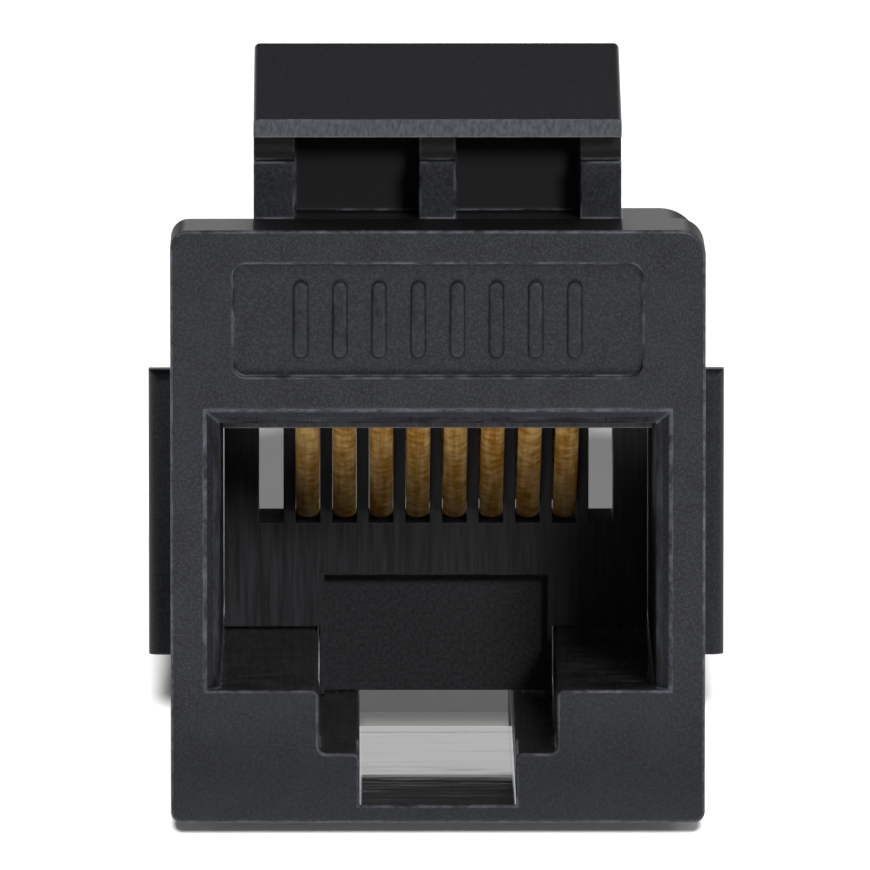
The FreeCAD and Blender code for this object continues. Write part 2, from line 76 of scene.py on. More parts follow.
# %% Turn a hex colour to linear light
def colour(hex_code):
    channels = [int(hex_code[index:index + 2], 16) / 255 for index in (1, 3, 5)]
    linear = [c / 12.92 if c <= 0.04045 else ((c + 0.055) / 1.055) ** 2.4 for c in channels]
    return (*linear, 1.0)


print("mid grey:", [round(value, 3) for value in colour("#808080")])

# %% [markdown]
# ## One helper for every node
# A material is a small graph. This helper adds one node, sets its properties, fills its
# sockets and links them, so that each material below reads as a list of what it does.
# Patterns are sized in millimetres, so a second function turns a size into a noise scale.


# %% Add a node with its settings and links
def node(tree, kind, sockets=None, **settings):
    """Add a node; a value in sockets is a number, a colour or another node's output."""
    made = tree.nodes.new(kind)
    for name, value in settings.items():
        setattr(made, name, value)
    for name, value in (sockets or {}).items():
        if isinstance(value, bpy.types.NodeSocket):
            tree.links.new(value, made.inputs[name])
        else:
            made.inputs[name].default_value = value
    return made


def new_material(name):
    made = bpy.data.materials.new(name)
    made.use_nodes = True
    made.node_tree.nodes.clear()
    return made, made.node_tree


def waves_per_metre(size_mm):
    """Noise scale for features of about this size, on coordinates in metres."""
    return 1 / (size_mm * MM)


print("scale for a grain of 0.1 mm:", round(waves_per_metre(0.1)))

# %% [markdown]
# ## Black ABS, spark-textured outside and polished inside
# The housings are moulded in one black ABS. The mould's outer faces were spark-eroded, which
# leaves a matte grain of a few hundredths of a millimetre. The cores that form the sockets
# and the pockets under the latch were polished and slide out along the part, so the plastic
# there is shinier and carries faint draw lines along Y, and the sockets are darker. Under the
# latch the colour is a painted shade, near black, for the shadow of the latch's lip, and the
# surface there is less shiny. The slot for the plug's clip is the smoothest of all. A
# box-shaped mask picks out each of these regions.

# %% Mask for a box-shaped region
def inside_box(tree, position, low, high):
    """1 inside the box between two corners given in metres, 0 outside."""
    above_low = node(tree, "ShaderNodeVectorMath", {0: position, 1: low}, operation="SUBTRACT")
    below_high = node(tree, "ShaderNodeVectorMath", {0: high, 1: position}, operation="SUBTRACT")
    nearest = node(tree, "ShaderNodeVectorMath",
                   {0: above_low.outputs[0], 1: below_high.outputs[0]}, operation="MINIMUM")
    sides = node(tree, "ShaderNodeSeparateXYZ", {"Vector": nearest.outputs[0]})
    least = node(tree, "ShaderNodeMath", {0: sides.outputs["X"], 1: sides.outputs["Y"]},
                 operation="MINIMUM")
    least = node(tree, "ShaderNodeMath", {0: least.outputs[0], 1: sides.outputs["Z"]},
                 operation="MINIMUM")
    return node(tree, "ShaderNodeMath", {0: least.outputs[0], 1: 0.0},
                operation="GREATER_THAN").outputs[0]


def either(tree, first, second):
    """The larger of two masks."""
    return node(tree, "ShaderNodeMath", {0: first, 1: second}, operation="MAXIMUM").outputs[0]


print("masks: inside a box, and the larger of two")

# %% [markdown]
# ### Where the polished cores were, and where shade is painted
# Each region is a low corner and a high corner. The socket runs from end to end behind a thin
# skin of textured face, and the slot for the plug's clip is the lowest part of it. The
# pockets, the apron in front of them and the band under the lip lie below the latch, in the
# lip's shadow, and get a painted shade. The field is the shallow panel above the socket. A
# hair's breadth keeps a neighbouring face out of a region, and a margin takes a region safely
# past its own faces.

# %% Regions of the housings
HAIR = 0.02 * MM
MARGIN = 0.1 * MM
FACE_SKIN = 0.26 * MM
SIDE_ROOM = 0.24 * MM
CLIP_FLOOR = 1.3 * MM
CLIP_TOP = 1.5 * MM
WEB_BACK = 1.75 * MM
POST_DEPTH = 0.5 * MM
APRON_SKIN = 0.15 * MM
FIELD_SKIN = 0.12 * MM
FIELD_REACH = 0.5 * MM
FIELD_HALF = 5.7 * MM
FIELD_TOP_DROP = 0.5 * MM
FIELD_FOOT_DROP = 4.4 * MM
UNDER_LIP_BASE = 1.6 * MM

SOCKET_HALF = (block_high.x - block_low.x) / 2 + SIDE_ROOM
SOCKET_LOW = (-SOCKET_HALF, FACE_Y + FACE_SKIN, CLIP_FLOOR)
SOCKET_HIGH = (SOCKET_HALF, -FACE_Y - FACE_SKIN, block_high.z)
CLIP_SLOT_LOW = (-SOCKET_HALF, FACE_Y + HAIR, CLIP_FLOOR)
CLIP_SLOT_HIGH = (SOCKET_HALF, -FACE_Y, CLIP_TOP)
POCKET_LOW = (latch_low.x, latch_low.y + WEB_BACK, FACE_TOP - MARGIN)
POCKET_HIGH = (latch_high.x, 0.0, face_high.z - HAIR)
APRON_LOW = (latch_low.x, FACE_Y + APRON_SKIN, FACE_TOP - MARGIN)
APRON_HIGH = (latch_high.x, latch_low.y + POST_DEPTH, FACE_TOP + MARGIN)
FIELD_LOW = (-FIELD_HALF, FACE_Y + FIELD_SKIN, FACE_TOP - FIELD_FOOT_DROP)
FIELD_HIGH = (FIELD_HALF, FACE_Y + FIELD_REACH, FACE_TOP - FIELD_TOP_DROP)
UNDER_LIP_LOW = (latch_low.x, latch_low.y, FACE_TOP + UNDER_LIP_BASE)
UNDER_LIP_HIGH = (latch_high.x, 0.0, FACE_TOP + PEDESTAL_HEIGHT + MARGIN)
print("polished socket:", [round(value / MM, 2) for value in SOCKET_LOW + SOCKET_HIGH])

# %% [markdown]
# ### Worn edges with painted highlights
# Handling has worn the sharp edges pale, and the same pale line is also a painted highlight,
# for the light that the edges catch. A Bevel node rounds the normal near an edge, so where the
# rounded normal leans away from the flat one, there is an edge. A cloudy noise breaks the line
# up into patches, as wear and glints do.

# %% Mask for worn edges and painted edge highlights
EDGE_REACH = 0.13 * MM
EDGE_BEGINS = 0.99
EDGE_FULL = 0.88
EDGE_PATCH_MM = 0.5


def worn_edges_and_highlights(tree, position, reach=EDGE_REACH):
    """The rounded normal, and a broken-up mask of wear and painted highlight along sharp edges."""
    rounded = node(tree, "ShaderNodeBevel", {"Radius": reach}, samples=8)
    flat = node(tree, "ShaderNodeNewGeometry")
    same = node(tree, "ShaderNodeVectorMath",
                {0: rounded.outputs["Normal"], 1: flat.outputs["True Normal"]},
                operation="DOT_PRODUCT")
    patches = node(tree, "ShaderNodeTexNoise",
                   {"Vector": position, "Scale": waves_per_metre(EDGE_PATCH_MM), "Detail": 4.0})
    turned = node(tree, "ShaderNodeMapRange", {"Value": same.outputs["Value"],
                                               "From Min": EDGE_BEGINS, "From Max": EDGE_FULL})
    broken = node(tree, "ShaderNodeMapRange",
                  {"Value": patches.outputs["Fac"], "From Min": 0.38, "From Max": 0.62})
    mask = node(tree, "ShaderNodeMath", {0: turned.outputs["Result"], 1: broken.outputs["Result"]},
                operation="MULTIPLY")
    return rounded.outputs["Normal"], mask.outputs[0]


print("edges are rubbed over", round(EDGE_REACH / MM, 2), "mm")

# %% [markdown]
# ### The rounded rim of the face
# The front edges of the collar are rounded in the solid, so the Bevel node finds nothing
# sharp there. They are found another way: their surface slants and lies just behind the face.
# They take the same pale line as the edges: wear, and partly a painted highlight.

# %% Mask for the rim
RIM_DEPTH = 0.11 * MM
RIM_FADE = 0.8
SLANT_BEGINS = -0.985
SLANT_FULL = -0.93
RIM_PATCH_MM = 0.35


def worn_rim_and_highlight(tree, position):
    """A mask that is 1 on slanting surface just behind the face, broken up by patches."""
    flat = node(tree, "ShaderNodeNewGeometry")
    facing = node(tree, "ShaderNodeSeparateXYZ", {"Vector": flat.outputs["True Normal"]})
    slanting = node(tree, "ShaderNodeMapRange", {"Value": facing.outputs["Y"],
                                                 "From Min": SLANT_BEGINS,
                                                 "From Max": SLANT_FULL})
    depth = node(tree, "ShaderNodeSeparateXYZ", {"Vector": position})
    near = node(tree, "ShaderNodeMapRange", {"Value": depth.outputs["Y"],
                                             "From Min": FACE_Y + RIM_DEPTH,
                                             "From Max": FACE_Y + RIM_FADE * RIM_DEPTH})
    patches = node(tree, "ShaderNodeTexNoise",
                   {"Vector": position, "Scale": waves_per_metre(RIM_PATCH_MM), "Detail": 5.0,
                    "Roughness": 0.7})
    broken = node(tree, "ShaderNodeMapRange", {"Value": patches.outputs["Fac"],
                                               "From Min": 0.4, "From Max": 0.65,
                                               "To Min": 0.15, "To Max": 0.95})
    rim = node(tree, "ShaderNodeMath", {0: slanting.outputs["Result"], 1: near.outputs["Result"]},
               operation="MULTIPLY")
    return node(tree, "ShaderNodeMath", {0: rim.outputs[0], 1: broken.outputs["Result"]},
                operation="MULTIPLY").outputs[0]


print("the rim is", round(RIM_DEPTH / MM, 2), "mm deep")

# %% [markdown]
# ### The plastic itself
# The spark grain is drawn a little coarser than it is, or it would be too fine to show. A
# cloud of dark tones lies under it, and the field has a bluer one. Plugs have left pale marks
# across the walls of the socket, and shallow scuffs blur the mirror of the clip slot. Level
# tops are a touch shinier, because they catch the wear of fingers.

# %% Spark-textured black ABS
ABS_DARK = "#0f1013"
ABS_PALE = "#23252a"
FIELD_TINT = "#1b1d25"
SPECK_GREY = "#43464f"
POLISHED_BLACK = "#1c1c1e"
PLUG_MARK_GREY = "#4c4e54"
PAINTED_SHADE_BLACK = "#0d0d0f"
RUBBED_AND_HIGHLIGHT_ABS = "#80838c"
PLASTIC_IOR = 1.5
GRAIN_MM = 0.07
CLOUD_MM = 1.1
SCUFF_MM = 0.3
PLUG_MARK_MM = 0.3
DRAW_LINE_MM = 0.14
SCUFF_STRETCH = (0.08, 1.0, 1.0)
PLUG_MARK_STRETCH = (0.22, 1.0, 0.22)
DRAW_LINE_STRETCH = (1.0, 0.05, 0.06)
ABS_RELIEF = 0.02 * MM
FIELD_TINT_SHARE = 0.5
LEVEL_BEGINS = 0.9
LEVEL_FULL = 0.99
LEVEL_TOP_ROUGHNESS = 0.34
SHADED_ROUGHNESS = 0.55
GRAIN_BUMP = 0.3
DRAW_LINE_BUMP = 0.1


def textured_abs():
    made, tree = new_material("black_abs_spark_textured")
    coordinates = node(tree, "ShaderNodeTexCoord")
    place = coordinates.outputs["Object"]
    socket = inside_box(tree, place, SOCKET_LOW, SOCKET_HIGH)
    clip_slot = inside_box(tree, place, CLIP_SLOT_LOW, CLIP_SLOT_HIGH)
    pocket = inside_box(tree, place, POCKET_LOW, POCKET_HIGH)
    apron = inside_box(tree, place, APRON_LOW, APRON_HIGH)
    under_lip = inside_box(tree, place, UNDER_LIP_LOW, UNDER_LIP_HIGH)
    # Painted shade: the regions under the latch's lip are coloured near black for its shadow.
    shade_under_latch = either(tree, pocket, either(tree, apron, under_lip))
    inside = either(tree, either(tree, socket, clip_slot), shade_under_latch)
    # Pale edges and rim: worn plastic, and partly a painted highlight where edges catch light.
    normal, edges = worn_edges_and_highlights(tree, place)
    edges = either(tree, edges, worn_rim_and_highlight(tree, place))
    field = inside_box(tree, place, FIELD_LOW, FIELD_HIGH)
    grain = node(tree, "ShaderNodeTexNoise",
                 {"Vector": place, "Scale": waves_per_metre(GRAIN_MM), "Detail": 6.0,
                  "Roughness": 0.75})
    cloud = node(tree, "ShaderNodeTexNoise",
                 {"Vector": place, "Scale": waves_per_metre(CLOUD_MM), "Detail": 8.0,
                  "Roughness": 0.65})
    stretched = node(tree, "ShaderNodeMapping", {"Vector": place, "Scale": DRAW_LINE_STRETCH})
    draw_lines = node(tree, "ShaderNodeTexNoise",
                      {"Vector": stretched.outputs["Vector"],
                       "Scale": waves_per_metre(DRAW_LINE_MM), "Detail": 5.0, "Roughness": 0.65})
    streaked = node(tree, "ShaderNodeMapping", {"Vector": place, "Scale": SCUFF_STRETCH})
    scuffs = node(tree, "ShaderNodeTexNoise",
                  {"Vector": streaked.outputs["Vector"], "Scale": waves_per_metre(SCUFF_MM),
                   "Detail": 4.0, "Roughness": 0.6})

    mottled = node(tree, "ShaderNodeMapRange", {"Value": cloud.outputs["Fac"], "From Min": 0.34,
                                                "From Max": 0.66})
    tone = node(tree, "ShaderNodeMix", {"Factor": mottled.outputs["Result"],
                                        "A": colour(ABS_DARK), "B": colour(ABS_PALE)},
                data_type="RGBA")
    tinted = node(tree, "ShaderNodeMath", {0: field, 1: FIELD_TINT_SHARE},
                  operation="MULTIPLY")
    tone = node(tree, "ShaderNodeMix", {"Factor": tinted.outputs[0], "A": tone.outputs["Result"],
                                        "B": colour(FIELD_TINT)}, data_type="RGBA")
    speck = node(tree, "ShaderNodeMapRange", {"Value": grain.outputs["Fac"], "From Min": 0.45,
                                              "From Max": 0.68})
    speckled = node(tree, "ShaderNodeMix", {"Factor": speck.outputs["Result"],
                                            "A": tone.outputs["Result"], "B": colour(SPECK_GREY)},
                    data_type="RGBA")
    across = node(tree, "ShaderNodeMapping", {"Vector": place, "Scale": PLUG_MARK_STRETCH})
    wiped = node(tree, "ShaderNodeTexNoise",
                 {"Vector": across.outputs["Vector"], "Scale": waves_per_metre(PLUG_MARK_MM),
                  "Detail": 5.0, "Roughness": 0.7})
    plug_marks = node(tree, "ShaderNodeMapRange", {"Value": wiped.outputs["Fac"],
                                                   "From Min": 0.42, "From Max": 0.66})
    polished = node(tree, "ShaderNodeMix", {"Factor": plug_marks.outputs["Result"],
                                            "A": colour(POLISHED_BLACK),
                                            "B": colour(PLUG_MARK_GREY)}, data_type="RGBA")
    # Painted shade: under the latch the colour is mixed to near black, standing in for shadow.
    painted_shade_tone = node(tree, "ShaderNodeMix", {"Factor": shade_under_latch,
                                          "A": polished.outputs["Result"],
                                          "B": colour(PAINTED_SHADE_BLACK)}, data_type="RGBA")
    core = node(tree, "ShaderNodeMix", {"Factor": inside, "A": speckled.outputs["Result"],
                                        "B": painted_shade_tone.outputs["Result"]}, data_type="RGBA")
    # Painted highlight: the pale edge colour is wear and also stands in for edge highlights.
    rubbed_and_highlight = node(tree, "ShaderNodeMix", {"Factor": edges, "A": core.outputs["Result"],
                                          "B": colour(RUBBED_AND_HIGHLIGHT_ABS)}, data_type="RGBA")

    up = node(tree, "ShaderNodeSeparateXYZ", {"Vector": coordinates.outputs["Normal"]})
    flat_top = node(tree, "ShaderNodeMapRange", {"Value": up.outputs["Z"],
                                                 "From Min": LEVEL_BEGINS,
                                                 "From Max": LEVEL_FULL})
    matte = node(tree, "ShaderNodeMapRange", {"Value": grain.outputs["Fac"], "To Min": 0.5,
                                              "To Max": 0.7})
    ledge = node(tree, "ShaderNodeMix", {"Factor": flat_top.outputs["Result"],
                                         "A": matte.outputs["Result"],
                                         "B": LEVEL_TOP_ROUGHNESS}, data_type="FLOAT")
    polish = node(tree, "ShaderNodeMapRange", {"Value": draw_lines.outputs["Fac"], "From Min": 0.3,
                                               "From Max": 0.7, "To Min": 0.24, "To Max": 0.42})
    gloss = node(tree, "ShaderNodeMix", {"Factor": inside, "A": ledge.outputs["Result"],
                                         "B": polish.outputs["Result"]}, data_type="FLOAT")
    scratched = node(tree, "ShaderNodeMapRange", {"Value": scuffs.outputs["Fac"],
                                                  "From Min": 0.42, "From Max": 0.68,
                                                  "To Min": 0.03, "To Max": 0.14})
    gloss = node(tree, "ShaderNodeMix", {"Factor": shade_under_latch, "A": gloss.outputs["Result"],
                                         "B": SHADED_ROUGHNESS}, data_type="FLOAT")
    gloss = node(tree, "ShaderNodeMix", {"Factor": clip_slot, "A": gloss.outputs["Result"],
                                         "B": scratched.outputs["Result"]}, data_type="FLOAT")

    relief = node(tree, "ShaderNodeMix", {"Factor": inside, "A": grain.outputs["Fac"],
                                          "B": draw_lines.outputs["Fac"]}, data_type="FLOAT")
    height = node(tree, "ShaderNodeMapRange", {"Value": inside, "To Min": GRAIN_BUMP,
                                               "To Max": DRAW_LINE_BUMP})
    quiet = node(tree, "ShaderNodeMapRange", {"Value": clip_slot, "To Min": 1.0, "To Max": 0.0})
    height = node(tree, "ShaderNodeMath",
                  {0: height.outputs["Result"], 1: quiet.outputs["Result"]},
                  operation="MULTIPLY")
    bump = node(tree, "ShaderNodeBump", {"Strength": height.outputs[0], "Distance": ABS_RELIEF,
                                         "Height": relief.outputs["Result"], "Normal": normal})
    shader = node(tree, "ShaderNodeBsdfPrincipled",
                  {"Base Color": rubbed_and_highlight.outputs["Result"], "Roughness": gloss.outputs["Result"],
                   "IOR": PLASTIC_IOR, "Normal": bump.outputs["Normal"]})
    node(tree, "ShaderNodeOutputMaterial", {"Surface": shader.outputs["BSDF"]})
    return made


def finish_node(name, material):
    """Give a CAD node one material in all of its slots."""
    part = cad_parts[name]
    if not part.material_slots:
        part.data.materials.append(material)
    for place in part.material_slots:
        place.material = material


black_abs = textured_abs()
for name in ("front_housing", "rear_housing"):
    finish_node(name, black_abs)
print("housings:", black_abs.name)

# %% [markdown]
# ## The latch: the same ABS from a smoother mould
# The ramp is rubbed smooth by every panel that it clicks through, and the front lip is
# scuffed pale by tools and finger nails. The lip is the only part of the latch that looks
# straight forward, so the normal picks it out.

# %% Smooth black ABS with a scuffed lip
LATCH_DARK = "#222124"
LATCH_PALE = "#5a595e"
LIP_GREY = "#63666e"
RUBBED_AND_HIGHLIGHT_LATCH = "#7c7e86"
LATCH_EDGE_REACH = 0.07 * MM
LIP_BEGINS = -0.8
LIP_FULL = -0.95
LIP_SCUFF_MM = 0.1
LIP_SCUFF_STRETCH = (1.0, 1.0, 0.4)
LATCH_MOTTLE_MM = 0.12
LATCH_BUMP = 0.25


def latch_abs():
    made, tree = new_material("black_abs_smooth_scuffed")
    coordinates = node(tree, "ShaderNodeTexCoord")
    place = coordinates.outputs["Object"]
    normal, edges = worn_edges_and_highlights(tree, place, LATCH_EDGE_REACH)
    facing = node(tree, "ShaderNodeSeparateXYZ", {"Vector": coordinates.outputs["Normal"]})
    lip = node(tree, "ShaderNodeMapRange", {"Value": facing.outputs["Y"],
                                            "From Min": LIP_BEGINS, "From Max": LIP_FULL})
    upright = node(tree, "ShaderNodeMapping", {"Vector": place, "Scale": LIP_SCUFF_STRETCH})
    scuffs = node(tree, "ShaderNodeTexNoise", {"Vector": upright.outputs["Vector"],
                                               "Scale": waves_per_metre(LIP_SCUFF_MM),
                                               "Detail": 5.0, "Roughness": 0.65})
    scuffed = node(tree, "ShaderNodeMapRange", {"Value": scuffs.outputs["Fac"], "From Min": 0.4,
                                                "From Max": 0.62, "To Min": 0.1})
    lip_wear = node(tree, "ShaderNodeMath",
                    {0: lip.outputs["Result"], 1: scuffed.outputs["Result"]},
                    operation="MULTIPLY")
    soft = node(tree, "ShaderNodeTexNoise",
                {"Vector": place, "Scale": waves_per_metre(LATCH_MOTTLE_MM), "Detail": 8.0,
                 "Roughness": 0.75})
    tone = node(tree, "ShaderNodeMix", {"Factor": soft.outputs["Fac"], "A": colour(LATCH_DARK),
                                        "B": colour(LATCH_PALE)}, data_type="RGBA")
    pale = node(tree, "ShaderNodeMix", {"Factor": lip_wear.outputs[0], "A": tone.outputs["Result"],
                                        "B": colour(LIP_GREY)}, data_type="RGBA")
    # Painted highlight: the pale edge colour is wear and also stands in for edge highlights.
    rubbed_and_highlight = node(tree, "ShaderNodeMix", {"Factor": edges, "A": pale.outputs["Result"],
                                          "B": colour(RUBBED_AND_HIGHLIGHT_LATCH)}, data_type="RGBA")
    gloss = node(tree, "ShaderNodeMapRange", {"Value": soft.outputs["Fac"], "To Min": 0.36,
                                              "To Max": 0.5})
    bump = node(tree, "ShaderNodeBump", {"Strength": LATCH_BUMP, "Distance": ABS_RELIEF,
                                         "Height": scuffs.outputs["Fac"], "Normal": normal})
    shader = node(tree, "ShaderNodeBsdfPrincipled",
                  {"Base Color": rubbed_and_highlight.outputs["Result"], "Roughness": gloss.outputs["Result"],
                   "IOR": PLASTIC_IOR, "Normal": bump.outputs["Normal"]})
    node(tree, "ShaderNodeOutputMaterial", {"Surface": shader.outputs["BSDF"]})
    return made


scuffed_abs = latch_abs()
finish_node("release_latch", scuffed_abs)
print("latch:", scuffed_abs.name)

# %% [markdown]
# ## Contact blocks: black PBT
# The combs that keep the wires apart are moulded in stiffer, glassier PBT. Their face into
# the socket carries fine upright draw lines. The raised key under the comb has a fine spark
# texture, and the floors of the slots are rough.

# %% Black PBT
PBT_DARK = "#2d2d31"
PBT_PALE = "#48484e"
RUBBED_AND_HIGHLIGHT_PBT = "#6a6c72"
PBT_IOR = 1.54
COMB_EDGE_REACH = 0.05 * MM
COMB_LINE_MM = 0.12
COMB_LINE_STRETCH = (1.0, 1.0, 0.06)
KEY_SPECK_MM = 0.1
LEDGE_ROUGHNESS = 0.9
PBT_BUMP = 0.2
PBT_RELIEF = 0.02 * MM
KEY_HALF = 3.26 * MM
KEY_HEIGHT = 3.4 * MM
KEY_LOW = (-KEY_HALF, block_low.y, 0.0)
KEY_HIGH = (KEY_HALF, -block_low.y, block_low.z + KEY_HEIGHT)


def comb_pbt():
    made, tree = new_material("black_pbt_moulded")
    coordinates = node(tree, "ShaderNodeTexCoord")
    place = coordinates.outputs["Object"]
    normal, edges = worn_edges_and_highlights(tree, place, COMB_EDGE_REACH)
    key = inside_box(tree, place, KEY_LOW, KEY_HIGH)
    upright = node(tree, "ShaderNodeMapping", {"Vector": place, "Scale": COMB_LINE_STRETCH})
    lines = node(tree, "ShaderNodeTexNoise", {"Vector": upright.outputs["Vector"],
                                              "Scale": waves_per_metre(COMB_LINE_MM),
                                              "Detail": 4.0})
    specks = node(tree, "ShaderNodeTexNoise",
                  {"Vector": place, "Scale": waves_per_metre(KEY_SPECK_MM), "Detail": 4.0,
                   "Roughness": 0.65})
    texture = node(tree, "ShaderNodeMix", {"Factor": key, "A": lines.outputs["Fac"],
                                           "B": specks.outputs["Fac"]}, data_type="FLOAT")
    light = node(tree, "ShaderNodeMapRange", {"Value": texture.outputs["Result"],
                                              "From Min": 0.38, "From Max": 0.66})
    tone = node(tree, "ShaderNodeMix", {"Factor": light.outputs["Result"], "A": colour(PBT_DARK),
                                        "B": colour(PBT_PALE)}, data_type="RGBA")
    # Painted highlight: the pale edge colour is wear and also paints glints on the slot edges.
    rubbed_and_highlight = node(tree, "ShaderNodeMix", {"Factor": edges, "A": tone.outputs["Result"],
                                          "B": colour(RUBBED_AND_HIGHLIGHT_PBT)}, data_type="RGBA")
    up = node(tree, "ShaderNodeSeparateXYZ", {"Vector": coordinates.outputs["Normal"]})
    level = node(tree, "ShaderNodeMapRange", {"Value": up.outputs["Z"],
                                              "From Min": LEVEL_BEGINS,
                                              "From Max": LEVEL_FULL})
    gloss = node(tree, "ShaderNodeMapRange", {"Value": texture.outputs["Result"],
                                              "From Min": 0.3, "From Max": 0.7,
                                              "To Min": 0.34, "To Max": 0.5})
    rough = node(tree, "ShaderNodeMix", {"Factor": level.outputs["Result"],
                                         "A": gloss.outputs["Result"],
                                         "B": LEDGE_ROUGHNESS}, data_type="FLOAT")
    bump = node(tree, "ShaderNodeBump", {"Strength": PBT_BUMP, "Distance": PBT_RELIEF,
                                         "Height": texture.outputs["Result"], "Normal": normal})
    shader = node(tree, "ShaderNodeBsdfPrincipled",
                  {"Base Color": rubbed_and_highlight.outputs["Result"], "Roughness": rough.outputs["Result"],
                   "IOR": PBT_IOR, "Normal": bump.outputs["Normal"]})
    node(tree, "ShaderNodeOutputMaterial", {"Surface": shader.outputs["BSDF"]})
    return made


moulded_pbt = comb_pbt()
for name in ("front_contact_block", "rear_contact_block"):
    finish_node(name, moulded_pbt)
print("contact blocks:", moulded_pbt.name)

# %% [markdown]
# ## Contacts: gold-plated phosphor bronze
# The springs are drawn wire with a thin, satin gold plating. Drawing leaves fine lines along
# the wire, drawn coarser here because the real ones are too fine to show. Plugs have wiped
# the plating where they land, which leaves paler spots. Paler streaks along the wire are
# painted highlights, for the bright line that a round wire shows along its length.

# %% Gold-plated spring wire
GOLD_DEEP = "#d79c38"
GOLD_PALE_AND_HIGHLIGHT = "#ffe09a"
WIRE_LINE_MM = 0.05
WIRE_HIGHLIGHT_STREAK_MM = 0.22
WIRE_SPOT_MM = 0.35
WIRE_STRETCH = (1.0, 0.05, 0.05)
WIRE_BUMP = 0.2
WIRE_RELIEF = 0.01 * MM


def plated_wire():
    made, tree = new_material("gold_plated_phosphor_bronze_drawn")
    place = node(tree, "ShaderNodeTexCoord").outputs["Object"]
    lengthways = node(tree, "ShaderNodeMapping", {"Vector": place, "Scale": WIRE_STRETCH})
    lines = node(tree, "ShaderNodeTexNoise", {"Vector": lengthways.outputs["Vector"],
                                              "Scale": waves_per_metre(WIRE_LINE_MM),
                                              "Detail": 3.0})
    highlight_streaks = node(tree, "ShaderNodeTexNoise", {"Vector": lengthways.outputs["Vector"],
                                                "Scale": waves_per_metre(WIRE_HIGHLIGHT_STREAK_MM),
                                                "Detail": 2.0})
    spots = node(tree, "ShaderNodeTexNoise",
                 {"Vector": place, "Scale": waves_per_metre(WIRE_SPOT_MM), "Detail": 4.0})
    # Painted highlight: streaks along the wire stand in for its highlight; the spots are wear.
    wear_and_highlight = node(tree, "ShaderNodeMath", {0: spots.outputs["Fac"], 1: highlight_streaks.outputs["Fac"]},
                operation="ADD")
    bright = node(tree, "ShaderNodeMapRange", {"Value": wear_and_highlight.outputs[0], "From Min": 0.8,
                                               "From Max": 1.2})
    tone = node(tree, "ShaderNodeMix", {"Factor": bright.outputs["Result"],
                                        "A": colour(GOLD_DEEP), "B": colour(GOLD_PALE_AND_HIGHLIGHT)},
                data_type="RGBA")
    gloss = node(tree, "ShaderNodeMapRange", {"Value": lines.outputs["Fac"], "From Min": 0.3,
                                              "From Max": 0.7, "To Min": 0.7, "To Max": 0.95})
    bump = node(tree, "ShaderNodeBump", {"Strength": WIRE_BUMP, "Distance": WIRE_RELIEF,
                                         "Height": lines.outputs["Fac"]})
    shader = node(tree, "ShaderNodeBsdfPrincipled",
                  {"Base Color": tone.outputs["Result"], "Metallic": 1.0,
                   "Roughness": gloss.outputs["Result"], "Normal": bump.outputs["Normal"]})
    node(tree, "ShaderNodeOutputMaterial", {"Surface": shader.outputs["BSDF"]})
    return made


gold_wire = plated_wire()
print("contacts:", gold_wire.name)

# %% [markdown]
# ## The spring wires
# Each contact is one length of wire with rounded sides. It comes down through the board,
# runs forward in the plate, turns round a nose and springs down to its slot in the comb.
# The solids have square-edged strips, so a rounded one takes each one's place. The route is
# measured from the box of one strip: the bend under the board, the level run, the centre of
# the nose, and the tip. Tails of neighbours are staggered, so they pass the board in two rows.

# %% Route of a wire
WIRE_WIDTH = 0.65 * MM
WIRE_THICKNESS = 0.34 * MM
BEND_RADIUS = 0.5 * MM
NOSE_RADIUS = 0.45 * MM
RUN_DEPTH = 0.35 * MM
TIP_INSET = 0.07 * MM
TIP_RISE = 0.16 * MM
FIRST_TAIL_DEPTH = 5.95 * MM
STAGGER = 1.5 * MM

wire_low, wire_high = (Vector(corner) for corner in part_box("front_contact_1"))
RUN_LEVEL = block_high.z - RUN_DEPTH
NOSE_CENTRE = Vector((0, wire_low.y + NOSE_RADIUS + WIRE_THICKNESS / 2, RUN_LEVEL - NOSE_RADIUS))
TIP = Vector((0, wire_high.y - TIP_INSET, wire_low.z + TIP_RISE))
FIRST_TAIL = Vector((0, block_low.y + FIRST_TAIL_DEPTH, wire_high.z))
to_tip = TIP - NOSE_CENTRE
SLOPE = math.atan2(-to_tip.z, to_tip.y) - math.asin(NOSE_RADIUS / to_tip.length)
print("spring slopes down by", round(math.degrees(SLOPE), 1), "degrees")

# %% [markdown]
# ### An oval ring led along the route
# An oval ring is drawn once and led along the route. Straight runs are extruded and bends are
# spun, and the last rings shrink to a rounded tip. Both ends are filled, and the normals are
# recalculated, because a spin can leave them facing inwards.

# %% Shape of a wire
RING_POINTS = 16
BEND_STEPS = 6
NOSE_STEPS = 12
TIP_RINGS = 4
TIP_LENGTH = 0.6 * WIRE_THICKNESS
QUARTER_TURN = math.radians(90)


def middle_of(points):
    """The middle of some vertices, exactly the same in whatever order they come."""
    return Vector([math.fsum(point.co[axis] for point in points) / len(points)
                   for axis in range(3)])


def lead(shape, ring, move):
    """Extrude the open ring along a straight run and return the new ring."""
    made = bmesh.ops.extrude_edge_only(shape, edges=ring)["geom"]
    points = [item for item in made if isinstance(item, bmesh.types.BMVert)]
    bmesh.ops.translate(shape, verts=points, vec=move)
    return [item for item in made if isinstance(item, bmesh.types.BMEdge)
            and all(point in points for point in item.verts)]


def turn(shape, ring, centre, angle, steps):
    """Spin the open ring about an axis along X and return the last ring."""
    made = bmesh.ops.spin(shape, geom=ring, cent=centre, axis=(1, 0, 0), angle=angle, steps=steps)
    return [item for item in made["geom_last"] if isinstance(item, bmesh.types.BMEdge)]


